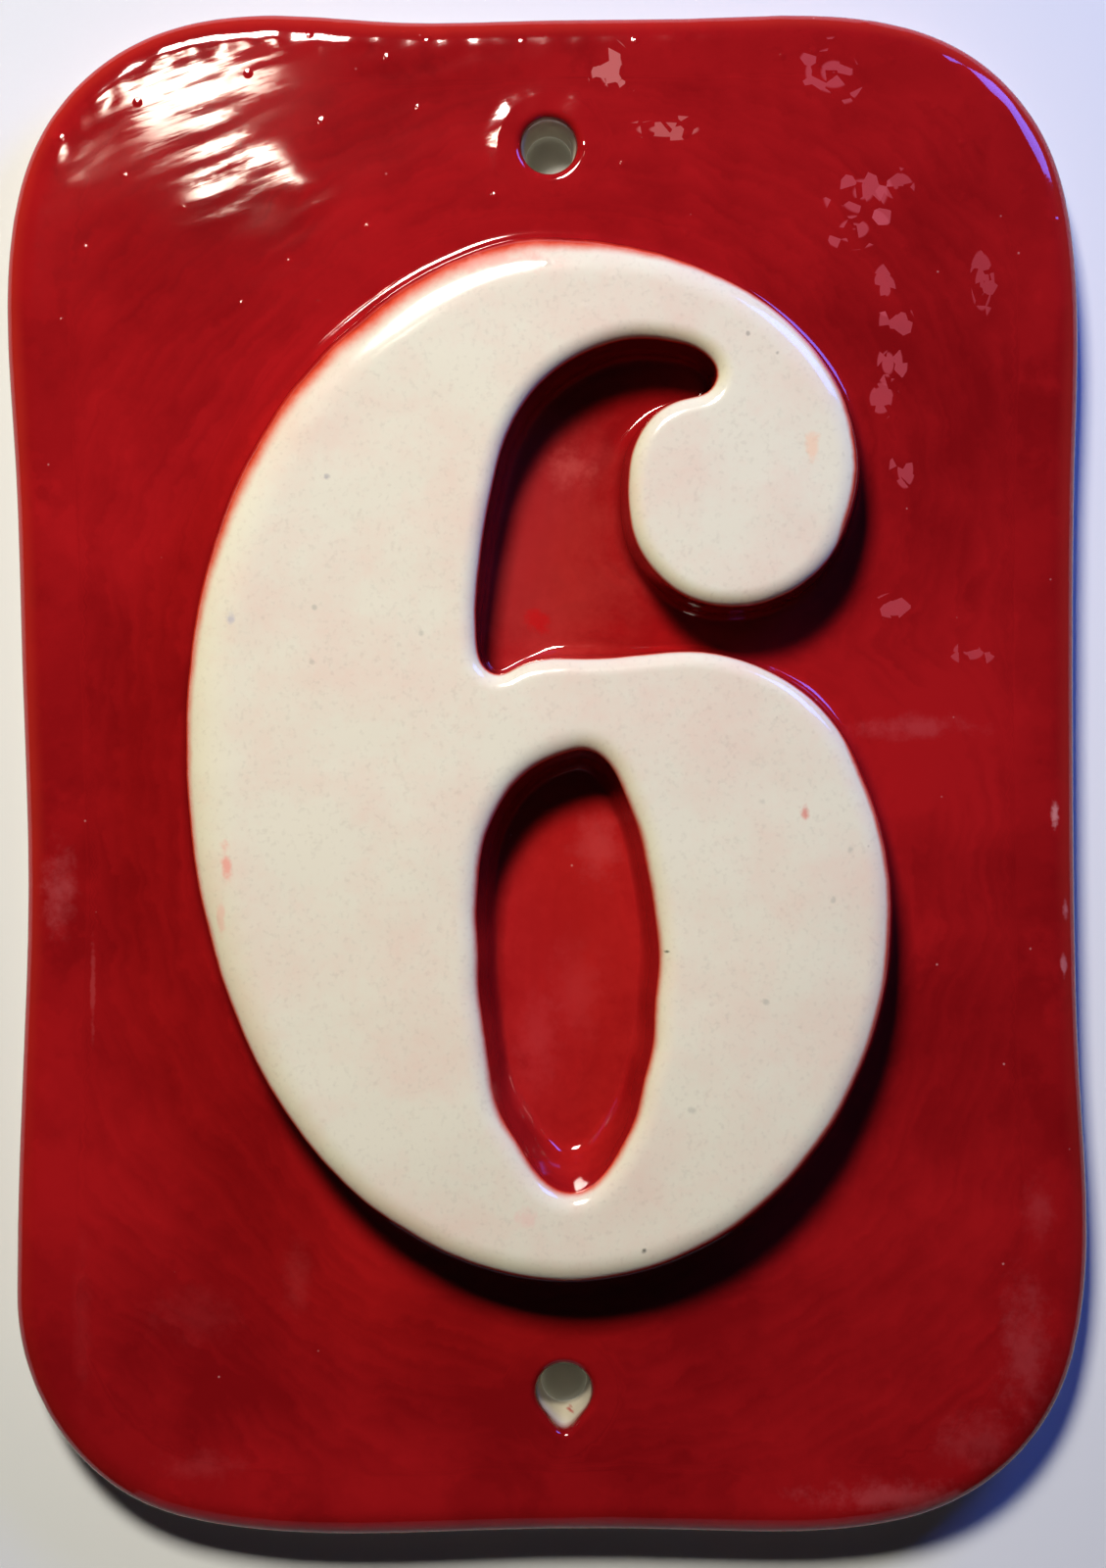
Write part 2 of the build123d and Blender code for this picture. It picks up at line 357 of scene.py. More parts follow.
# the slab's edge: flat band, quarter ellipse, upright side, small back round, band on the back
def slabEdge(skin):
    outline, normal = smoothOutline(slabLoop, slab["step"], slab["blur"])
    band, rim, side, back, last = slab["rows"]
    angle = np.linspace(0, np.pi / 2, rim)
    turnBack = np.linspace(0, np.pi / 2, back)
    r = slab["backRound"]
    outward = np.concatenate([
        np.linspace(-slab["band"], -slab["rimWidth"], band)[:-1],
        slab["rimWidth"] * (np.sin(angle) - 1),
        np.zeros(side)[1:-1],
        r * (np.cos(turnBack) - 1),
        np.linspace(-r, -slab["backBand"], last + 1)[1:],
    ])
    depth = np.concatenate([
        np.full(band - 1, slabFront),
        slabFront + slab["rimDrop"] * (1 - np.cos(angle)),
        np.linspace(slabFront + slab["rimDrop"], -r, side)[1:-1],
        r * (np.sin(turnBack) - 1),
        np.zeros(last),
    ])
    flat = outline + outward[:, None, None] * normal
    level = np.broadcast_to(depth[:, None], flat.shape[:2])
    grid = np.stack([flat[..., 0], level, flat[..., 1]], axis=-1)
    steps = np.hypot(np.diff(outward), np.diff(depth))
    along = np.concatenate([[0], steps.cumsum()])
    rimStart = band - 1
    backStart = rimStart + rim + side - 2
    rows = skin.points(
        grid,
        inset=-farOff,
        rim=(along[rimStart + rim // 2] - along)[:, None],
        bare=np.clip((along - along[backStart - 1]) / slab["bareFade"] + 0.5, 0, 1)[:, None],
        front=np.clip((depth + r) / (slabFront + r), 0, 1)[:, None],
    )
    skin.strip(rows)
    return rows


hole = {
    "count": 84,
    "mouthRound": 0.85,
    "mouthBlur": 1.5,       # steps
    "ring": 1.6,            # strip of slab round the mouth
    "mouthRadius": 2.75,
    "backRadius": 2.3,
    "backRound": 0.3,
    "backRing": 1.2,
    "flare": 1.3,           # power by which the bore widens forwards
    "lipDrop": 3.1,         # drawn-out lower lip of the bottom hole
    "lipRadius": 0.8,
    "lipCircles": 60,
    "collar": 3.4,          # clay pushed up round the mouth: it droops as if this much farther from the rim
    "collarWave": 0.7,
    "collarWaves": (17, 12),
    "collarLength": (4, 9),
    "unevenDepth": 3.0,     # mm in from the front over which the slab's unevenness fades
    "bareFrom": 0.9,        # mm in from the front where the glaze ends
    "bareFade": 1.2,
    "rows": (3, 5, 14, 9, 5),   # back ring, back round, bore, mouth, ring
}


# polar outline of a row of circles, from the hole's own down to the lip's: the farthest reach each way
def lipOutline(angle, radius, drop, lipRadius):
    share = np.linspace(0, 1, hole["lipCircles"])[:, None]
    centre, size = -share * drop, radius + share * (lipRadius - radius)
    up = np.sin(angle) * centre
    within = up ** 2 - centre ** 2 + size ** 2
    return np.where(within > 0, up + np.sqrt(np.maximum(within, 0)), 0).max(0)


# a punched hole from the back to the front: ring, small round, bore that widens forwards, rounded mouth, ring
def holeEdge(skin, loop, lipDrop, rimLine, rimInset):
    centre = (loop.min(0) + loop.max(0)) / 2
    angle = np.linspace(0, turn, hole["count"], endpoint=False)
    way = np.column_stack([np.cos(angle), np.sin(angle)])
    mouth = lipOutline(angle, hole["mouthRadius"], lipDrop, hole["lipRadius"])
    mouth = blurAlong(mouth, hole["mouthBlur"])
    backRing, backTurn, bore, lip, ring = hole["rows"]
    r, back, backRound = hole["mouthRound"], hole["backRadius"], hole["backRound"]
    bent = np.linspace(0, np.pi / 2, lip)
    backBent = np.linspace(0, np.pi / 2, backTurn)[1:]
    onBack = np.concatenate([
        np.linspace(back + hole["backRing"], back + backRound, backRing),
        back + backRound * (1 - np.sin(backBent)),
    ])
    reach = np.concatenate([
        np.repeat(onBack[:, None], hole["count"], axis=1),
        back + np.linspace(0, 1, bore)[1:-1, None] ** hole["flare"] * (mouth - back),
        mouth + r * (1 - np.cos(bent))[:, None],
        mouth + r + np.linspace(0, 1, ring)[1:, None] * hole["ring"],
    ])
    depth = np.concatenate([
        np.zeros(backRing),
        -backRound * (1 - np.cos(backBent)),
        np.linspace(-backRound, slabFront + r, bore)[1:-1],
        slabFront + r * (1 - np.sin(bent)),
        np.full(ring - 1, slabFront),
    ])
    flat = centre + reach[..., None] * way
    level = np.broadcast_to(depth[:, None], reach.shape)
    grid = np.stack([flat[..., 0], level, flat[..., 1]], axis=-1)
    wave = ripples(flat[..., 0], flat[..., 1], *hole["collarWaves"], hole["collarLength"])
    collar = hole["collar"] * (1 + hole["collarWave"] * wave)
    rows = skin.points(
        grid,
        inset=-farOff,
        rim=nearest(flat.reshape(-1, 2), [rimLine]).reshape(reach.shape) + rimInset + collar,
        bare=np.clip((depth - slabFront - hole["bareFrom"]) / hole["bareFade"], 0, 1)[:, None],
        front=np.clip(1 - (depth - slabFront) / hole["unevenDepth"], 0, 1)[:, None],
    )
    skin.strip(rows)
    return rows


# even triangles that fill the flat regions
filling = {
    "numeralFace": 0.8,     # side of a triangle
    "eyeFloor": 0.8,
    "slabFront": 0.85,
    "slabBack": 2.2,
    "rowShare": 0.866,      # height of an even triangle against its side
    "clearShare": 0.62,     # kept free along the borders
    "tolerance": 1e-7,
    "pointsAtOnce": 1500,
}


# distance from each point to the nearest corner of the loops, some points at a time
def nearest(points, loops):
    corners = np.vstack(loops)
    chunks = np.array_split(points, len(points) // filling["pointsAtOnce"] + 1)
    return np.concatenate([np.linalg.norm(part[:, None] - corners[None], axis=2).min(1) for part in chunks])


# True where a point lies inside a closed line: a ray to the right of it crosses the line an odd number of times
def inside(points, loop):
    x0, z0 = loop.T
    x1, z1 = np.roll(loop, -1, axis=0).T
    x, z = points[:, :1], points[:, 1:]
    spans = (z0 > z) != (z1 > z)
    crossing = x < x0 + (z - z0) * (x1 - x0) / np.where(z1 == z0, tiny, z1 - z0)
    return (spans & crossing).sum(1) % 2 == 1


# True inside the first loop and outside the others
def between(points, loops):
    keep = inside(points, loops[0])
    for loop in loops[1:]:
        keep &= ~inside(points, loop)
    return keep


# fills the flat region between an outer loop and its holes with triangles on a grid of even triangles
def fillRegion(skin, outer, holes, spacing, depth, flip=False, **fields):
    known = np.vstack(skin.places)
    loops = [outer, *holes]
    edges = [known[loop][:, [0, 2]] for loop in loops]
    lowest, highest = edges[0].min(0), edges[0].max(0)
    x = np.arange(lowest[0], highest[0], spacing)
    z = np.arange(lowest[1], highest[1], spacing * filling["rowShare"])
    gridX = x[None] + (np.arange(len(z)) % 2)[:, None] * spacing / 2
    grid = np.column_stack([gridX.ravel(), np.repeat(z, len(x))])
    grid = grid[between(grid, edges)]
    grid = grid[nearest(grid, edges) > filling["clearShare"] * spacing]
    values = {name: value(grid) if callable(value) else value for name, value in fields.items()}
    added = skin.points(np.column_stack([grid[:, 0], np.full(len(grid), depth), grid[:, 1]]), **values)
    numbers = np.concatenate([*loops, added])
    flat = np.vstack([*edges, grid])
    starts = np.cumsum([0] + [len(loop) for loop in loops])
    rounds = [np.arange(first, last) for first, last in zip(starts[:-1], starts[1:])]
    borders = np.column_stack([np.concatenate(rounds), np.concatenate([np.roll(part, -1) for part in rounds])])
    found = delaunay_2d_cdt(flat.tolist(), borders.tolist(), [], 0, filling["tolerance"])
    source = np.array(found[3])[:, 0]
    corners = source[np.array(found[2])]
    corners = numbers[corners[between(flat[corners].mean(1), edges)]]
    skin.triangles(corners[:, ::-1] if flip else corners)


# a row of a strip, seen from the front
def lineOf(row):
    return np.vstack(skin.places)[row][:, [0, 2]]


# mean of a value along a row of a strip that was added as the given patch
def meanOf(name, patch, rows, row):
    return skin.values[name][patch].reshape(rows.shape)[row].mean()


numeralRows = numeralEdge(skin)
eyeRows = eyeEdge(skin)
slabRows = slabEdge(skin)
rimLine, rimInset = lineOf(slabRows[0]), meanOf("rim", 2, slabRows, 0)
lowHole = holeEdge(skin, holeLoops[0], hole["lipDrop"], rimLine, rimInset)
topHole = holeEdge(skin, holeLoops[1], 0.0, rimLine, rimInset)
print("edges", skin.count, "points")

faceLine, faceInset = lineOf(numeralRows[0]), meanOf("inset", 0, numeralRows, 0)
footLine, footInset = lineOf(numeralRows[-1]), meanOf("inset", 0, numeralRows, -1)
mouthLine, mouthInset = lineOf(eyeRows[-1]), meanOf("inset", 1, eyeRows, -1)
floorLine, floorInset = lineOf(eyeRows[0]), meanOf("inset", 1, eyeRows, 0)

fillRegion(
    skin, numeralRows[0], [eyeRows[-1]], filling["numeralFace"], numeralFront,
    inset=lambda p: np.minimum(faceInset + nearest(p, [faceLine]), mouthInset + nearest(p, [mouthLine])),
    rim=farOff, bare=0.0, front=1.0,
)
fillRegion(
    skin, eyeRows[0], [], filling["eyeFloor"], slabFront,
    inset=lambda p: floorInset - nearest(p, [floorLine]), rim=farOff, bare=0.0, front=1.0,
)
fillRegion(
    skin, slabRows[0], [numeralRows[-1], topHole[-1], lowHole[-1]], filling["slabFront"], slabFront,
    inset=lambda p: footInset - nearest(p, [footLine]),
    rim=lambda p: rimInset + nearest(p, [rimLine]), bare=0.0, front=1.0,
)
fillRegion(
    skin, slabRows[-1], [topHole[0], lowHole[0]], filling["slabBack"], 0.0, flip=True,
    inset=-farOff, rim=-farOff, bare=1.0, front=0.0,
)
print("filled", skin.count, "points")

# unevenness of the hand-made slab, always pressed in from the CAD surface: waves are given by seed and count,
# lengths in mm, and a lift that keeps them positive
uneven = {
    "sag": 0.11,            # slow waves of the rolled clay
    "sagWaves": (3, 14),
    "sagLength": (26, 60),
    "sagLift": 1.6,
    "dents": 0.026,         # finger and tool marks
    "dentWaves": (5, 40),
    "dentLength": (7, 16),
    "dentLift": 1.8,
    "brush": 0.005,         # brush strokes left in the glaze
    "brushWaves": (8, 30),
    "brushLength": (1.9, 4.2),
    "brushLift": 2.0,
    "brushHeading": 112,    # degrees, across the strokes
    "brushSpread": 16,
    "heavyAt": (-30, 62),   # where the brush was loaded most
    "heavySize": 32.0,
    "heavyGain": 1.7,
    "droop": 0.5,           # the slab thins towards its top edge
    "droopFrom": (18, 3),   # mm in from the rim
    "droopHeights": (20, 60),
    "droopSides": (35, -20),
    "nibble": 0.035,        # fingered rim along the top
    "nibbleWaves": (13, 24),
    "nibbleLength": (2.5, 6.0),
    "nibbleLift": 1.8,
    "nibbleHeading": 0,
    "nibbleSpread": 35,
    "nibbleFrom": (4.5, 1.5),
    "nibbleHeights": (40, 62),
    "puddle": 0.07,         # glaze that ran together in the corner of the upper counter
    "puddleAt": (-1.5, 13.2),
    "puddleSize": 4.0,
    "puddleWaves": (21, 12),
    "puddleLength": (2.0, 4.0),
    "puddleLift": 1.0,
}


# 1 at a spot, fading as a Gaussian of the given size
def nearSpot(x, z, spot, size):
    return np.exp(-((x - spot[0]) ** 2 + (z - spot[1]) ** 2) / size ** 2)


# height lost at each point: the sum of the lifted waves, each within its own part of the slab,
# weighted towards the front
def pressedIn(places, rim, front):
    x, z = places[:, 0], places[:, 2]
    sag = uneven["sag"] * (ripples(x, z, *uneven["sagWaves"], uneven["sagLength"]) + uneven["sagLift"])
    dents = uneven["dents"] * (ripples(x, z, *uneven["dentWaves"], uneven["dentLength"]) + uneven["dentLift"])
    strokes = ripples(
        x, z, *uneven["brushWaves"], uneven["brushLength"], uneven["brushHeading"], uneven["brushSpread"],
    )
    heavy = 1 + uneven["heavyGain"] * nearSpot(x, z, uneven["heavyAt"], uneven["heavySize"])
    brush = uneven["brush"] * heavy * (strokes + uneven["brushLift"])
    droop = uneven["droop"] * smoothStep(rim, *uneven["droopFrom"])
    droop *= smoothStep(z, *uneven["droopHeights"]) * smoothStep(x, *uneven["droopSides"])
    fingers = ripples(
        x, z, *uneven["nibbleWaves"], uneven["nibbleLength"], uneven["nibbleHeading"], uneven["nibbleSpread"],
    )
    nibble = uneven["nibble"] * (fingers + uneven["nibbleLift"])
    nibble *= smoothStep(rim, *uneven["nibbleFrom"]) * smoothStep(z, *uneven["nibbleHeights"])
    puddle = uneven["puddle"] * nearSpot(x, z, uneven["puddleAt"], uneven["puddleSize"])
    puddle *= ripples(x, z, *uneven["puddleWaves"], uneven["puddleLength"]) + uneven["puddleLift"]
    return np.maximum(sag + dents + brush + droop + nibble + puddle, 0) * front


places = np.vstack(skin.places)
values = {name: np.concatenate(parts) for name, parts in skin.values.items()}
places[:, 1] += pressedIn(places, values["rim"], values["front"])
places = np.clip(places, low, high)


# one mesh from quads and triangles: corners and loop starts are written as whole arrays
def meshFromPatches(name, places, patches):
    mesh = bpy.data.meshes.new(name)
    totals = np.concatenate([np.full(len(patch), patch.shape[1]) for patch in patches])
    corners = np.concatenate([patch.ravel() for patch in patches])
    mesh.vertices.add(len(places))
    mesh.vertices.foreach_set("co", (places * mm).ravel())
    mesh.loops.add(len(corners))
    mesh.loops.foreach_set("vertex_index", corners.astype(np.int32))
    mesh.polygons.add(len(totals))
    mesh.polygons.foreach_set("loop_start", np.concatenate([[0], totals.cumsum()[:-1]]).astype(np.int32))
    mesh.polygons.foreach_set("use_smooth", np.ones(len(totals), dtype=bool))
    mesh.update(calc_edges=True)
    mesh.validate()
    return mesh


plaqueMesh = meshFromPatches("plaque_glazed", places, skin.faces)
for name in ("inset", "rim", "bare"):
    layer = plaqueMesh.attributes.new(name, "FLOAT", "POINT")
    layer.data.foreach_set("value", values[name].astype(np.float32))
plaque = bpy.data.objects.new("plaque_glazed", plaqueMesh)
bpy.context.collection.objects.link(plaque)
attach(plaque, "root")
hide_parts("plaque")
print("plaque", len(plaqueMesh.polygons), "faces")


# sRGB hex colour to linear
def linear(colour):
    channel = np.array([int(colour[k:k + 2], 16) / 255 for k in (1, 3, 5)])
    value = np.where(channel <= 0.04045, channel / 12.92, ((channel + 0.055) / 1.055) ** 2.4)
    return (*value.tolist(), 1.0)


# adds a node: inputs by name or number, each a value or the socket to link from; gives back an output
def addNode(tree, kind, inputs=(), out=None, **settings):
    made = tree.nodes.new(kind)
    for name, value in settings.items():
        setattr(made, name, value)
    for key, value in dict(inputs).items():
        named = [s for s in made.inputs if s.name == key and s.enabled]
        socket = made.inputs[key] if isinstance(key, int) else named[0]
        if isinstance(value, bpy.types.NodeSocket):
            tree.links.new(value, socket)
        else:
            socket.default_value = value
    shown = [s for s in made.outputs if s.enabled and (out is None or s.name == out)]
    return shown[0] if shown else made


# sizes in mm, fades as the values of a pattern or a distance between which a colour comes in
glaze = {
    "red": "#981A1D",
    "deepRed": "#7A1014",
    "thinRed": "#B4382A",
    "cream": "#D2CDB3",
    "greyCream": "#CBCAB7",
    "pink": "#D8A592",
    "fringe": "#C2482E",
    "clay": "#B3AD9A",
    "darkClay": "#A59D88",
    "eyeFloorLight": "#BE3230",     # painted light: lighter red on the floor of the eye
    "counterFloorReflection": "#B84440",   # painted reflection: pinker red on the floor of the upper counter
    # pale specks on the red: painted glints
    "glintSpeck": "#D8A8A0",
    "dust": "#8A8274",
    "mottleSize": 26.0,
    "strokeSize": 1.1,
    "strokeRun": 10.0,
    "strokeWander": 14.0,
    "strokeShare": 0.28,     # of the strokes against the mottle
    "redFade": (0.49, 0.79),
    "rimWander": 2.2,
    "rimFade": (2.8, 0.6),
    "rimThinShaded": (0.10, 0.55),   # how much of the paler thin red shows on the rim, from the bottom up to the middle; less of it at the bottom is painted shade
    "rimShadeHeights": (-65.0, 0.0),
    "pinkSize": 13.0,
    "pinkFade": (0.42, 0.75),
    "pinkMost": 0.38,
    "grainSize": 0.5,
    "grainFade": (0.55, 0.75),
    "grainMost": 0.15,
    "borderWander": 1.5,     # of the cream's edge
    "fringeFade": (-0.3, 0.4),
    "creamFade": (0.1, 1.3),
    "clayFade": (0.38, 0.68),
    "fraySize": 1.5,
    "reflectionSize": 1.2,        # cells that fray the edges of the painted reflections
    "speckGap": 5.0,
    "speckRadius": 0.16,
    "speckMost": 0.6,
    "spotWander": 2.4,       # fraying of the spots' edges, in half sizes
    "spotEdge": 1.8,
    "ior": 1.55,
    "gloss": 0.07,
    "creamGloss": 0.13,      # the clear glaze over the cream is a little softer
    "clayRough": 0.85,
    "bristleSize": 0.7,      # lines of the brush's bristles
    "bristleRun": 9.0,       # times as long as wide
    "bristleSlant": 20.0,    # degrees
    "bristleDepth": 0.0065,
    "gritGap": 3.6,          # grit under the glaze, towards the top edge
    "gritRadius": 0.55,
    "gritDepth": 0.055,
    "gritHeights": (34, 62),
}

# marks of use and firing: across and up, half width and half height in mm, colour, strength
marks = (
    ((-20.9, 28.1), (0.45, 0.45), "#7F8088", 0.55),    # specks in the cream
    ((-30.1, 14.7), (0.60, 0.80), "#8F93A8", 0.45),
    ((9.3, -45.4), (0.32, 0.35), "#4E5048", 0.80),
    ((11.5, -17.0), (0.40, 0.22), "#3F4A3A", 0.80),
    ((19.2, 41.8), (0.28, 0.28), "#8A887C", 0.60),
    ((22.0, 40.0), (0.25, 0.25), "#8A887C", 0.55),
    ((20.9, -21.7), (0.45, 0.40), "#8E9284", 0.40),
    ((28.9, -7.3), (0.40, 0.55), "#8E9284", 0.40),
    ((27.3, -12.1), (0.40, 0.40), "#8E9284", 0.35),
    ((13.8, -32.0), (0.45, 0.45), "#8E9284", 0.35),
    ((20.5, -2.7), (0.50, 0.45), "#9A9C8E", 0.30),
    ((-22.0, 15.8), (0.40, 0.40), "#8E9284", 0.40),
    ((-22.3, 10.6), (0.40, 0.40), "#8E9284", 0.35),
    ((-11.9, 13.4), (0.40, 0.40), "#8E9284", 0.35),
    ((24.6, -3.8), (0.50, 0.80), "#C4544A", 0.60),     # red smeared on the cream
    ((-30.5, -8.6), (0.70, 2.20), "#D98F80", 0.70),
    ((-31.0, -14.0), (0.50, 2.60), "#D9A092", 0.40),
    ((25.3, 30.9), (0.90, 2.00), "#E0B08C", 0.45),
    ((-2.0, -42.5), (1.60, 1.20), "#D9A79C", 0.35),
    ((-4.0, 48.6), (6.00, 1.30), "#D98F80", 0.45),
    ((49.9, -4.0), (0.50, 1.60), "#D9A8A0", 0.45),     # chips and scrapes at the right edge
    ((51.0, -13.2), (0.40, 1.40), "#C88A88", 0.45),
    ((50.8, -19.0), (0.40, 1.60), "#C88A88", 0.45),
    ((-44.5, -21.0), (0.30, 6.00), "#B05A5A", 0.25),   # scratch on the left
    ((-1.0, 14.9), (1.50, 1.60), "#B21519", 0.60),     # thick red in the corner of the upper counter
)

# dull pink patches on the glaze with crisp edges: painted reflections; place and half size as above
paintedReflections = (
    ((28.2, 68.8), (2.6, 2.2), "#B4545A", 0.55),
    ((31.0, 57.0), (2.8, 2.5), "#B4545A", 0.55),
    ((30.2, 53.4), (2.4, 1.6), "#B4545A", 0.55),
    ((34.3, 57.5), (1.5, 1.3), "#B4545A", 0.45),
    ((33.4, 47.4), (1.0, 1.7), "#B4545A", 0.50),
    ((34.6, 44.2), (1.3, 1.8), "#B4545A", 0.50),
    ((33.5, 40.2), (1.4, 2.4), "#B4545A", 0.55),
    ((32.8, 36.8), (1.4, 1.7), "#B4545A", 0.50),
    ((35.2, 29.8), (1.1, 2.0), "#B4545A", 0.50),
    ((42.7, 48.0), (1.0, 2.6), "#B4545A", 0.40),
    ((34.1, 16.5), (1.9, 1.1), "#B4545A", 0.50),
    ((41.6, 12.0), (1.6, 1.0), "#B4545A", 0.45),
    ((6.4, 69.4), (1.6, 2.4), "#C88078", 0.55),
    ((11.8, 63.2), (3.4, 0.9), "#C88078", 0.40),
)

# soft scuffs, mostly at the lower right corner, and darker and paler glaze on the counters' floors
scuffs = (
    ((47.0, -56.0), (2.6, 7.0), "#B86A6A", 0.17),
    ((34.0, -70.9), (9.0, 1.5), "#B86A6A", 0.24),
    ((42.5, -65.5), (4.0, 2.6), "#B86A6A", 0.12),
    ((36.0, 4.6), (6.0, 1.2), "#B86A6A", 0.18),
    ((5.0, -7.2), (2.4, 3.4), "#D0686A", 0.24),        # on the floor of the eye
    ((3.0, -21.0), (3.0, 5.0), "#C85A5C", 0.18),
    ((-0.8, -26.0), (2.4, 5.0), "#C85A5C", 0.18),
    ((1.0, -15.0), (6.0, 16.0), "#8C1014", 0.30),
    ((-1.0, 24.0), (7.0, 12.0), "#8C1A1C", 0.25),      # and of the upper counter
    ((2.6, 30.0), (2.4, 2.0), "#C86A60", 0.30),
    ((48.2, -43.0), (1.6, 3.0), "#B86A6A", 0.12),      # on the slab
    ((-34.5, -53.0), (4.5, 3.0), "#A84A4A", 0.11),
    ((-24.5, -49.5), (1.6, 3.4), "#B86A6A", 0.08),
    ((-34.0, -68.0), (4.0, 1.5), "#A84A4A", 0.20),
    ((-45.5, -54.0), (1.0, 8.0), "#A84A4A", 0.09),
    ((-47.9, -11.6), (1.7, 4.2), "#B86A6A", 0.25),
)

# red that fell on the bare clay of the lower hole
flecks = (
    ((2.40, -63.32), (0.42, 0.16), glaze["red"], 0.85),
    ((2.50, -63.14), (0.34, 0.09), glaze["red"], 0.50),
)

# lighter red on the floors of the numeral's counters: painted light on the eye's floor, a painted pinkish
# reflection on the upper counter's; place and half size as above
paintedFloorLight = (
    ((1.8, -18.0), (14.0, 28.0), glaze["eyeFloorLight"], 0.42),
    ((0.0, 22.0), (11.0, 20.0), glaze["counterFloorReflection"], 0.42),
)

# over how many half sizes each kind of spot fades
softness = {"paintedFloorLight": 1.0, "paintedReflections": 0.12, "scuffs": 1.4, "marks": 0.8, "flecks": 0.8}


# oval spots laid over a colour, their edges frayed by a noise: strength falls with the distance from the
# middle, counted in half sizes, over the given fade
def spots(tree, place, noise, colour, shapes, fade):
    for (across, up), (halfWidth, halfHeight), spotColour, strength in shapes:
        centred = addNode(tree, "ShaderNodeMapping", {
            "Vector": place,
            "Location": (-across / halfWidth, 0, -up / halfHeight),
            "Scale": (1 / (halfWidth * mm), 0, 1 / (halfHeight * mm)),
        })
        away = addNode(tree, "ShaderNodeVectorMath", {0: centred}, out="Value", operation="LENGTH")
        frayed = addNode(tree, "ShaderNodeMath", {
            0: noise, 1: glaze["spotWander"], 2: away,
        }, operation="MULTIPLY_ADD")
        spot = addNode(tree, "ShaderNodeMapRange", {
            "Value": frayed, "From Min": glaze["spotEdge"] + fade / 2, "From Max": glaze["spotEdge"] - fade / 2,
            "To Max": strength,
        }, interpolation_type="SMOOTHSTEP")
        colour = addNode(tree, "ShaderNodeMix", {
            "Factor": spot, "A": colour, "B": linear(spotColour),
        }, data_type="RGBA")
    return colour


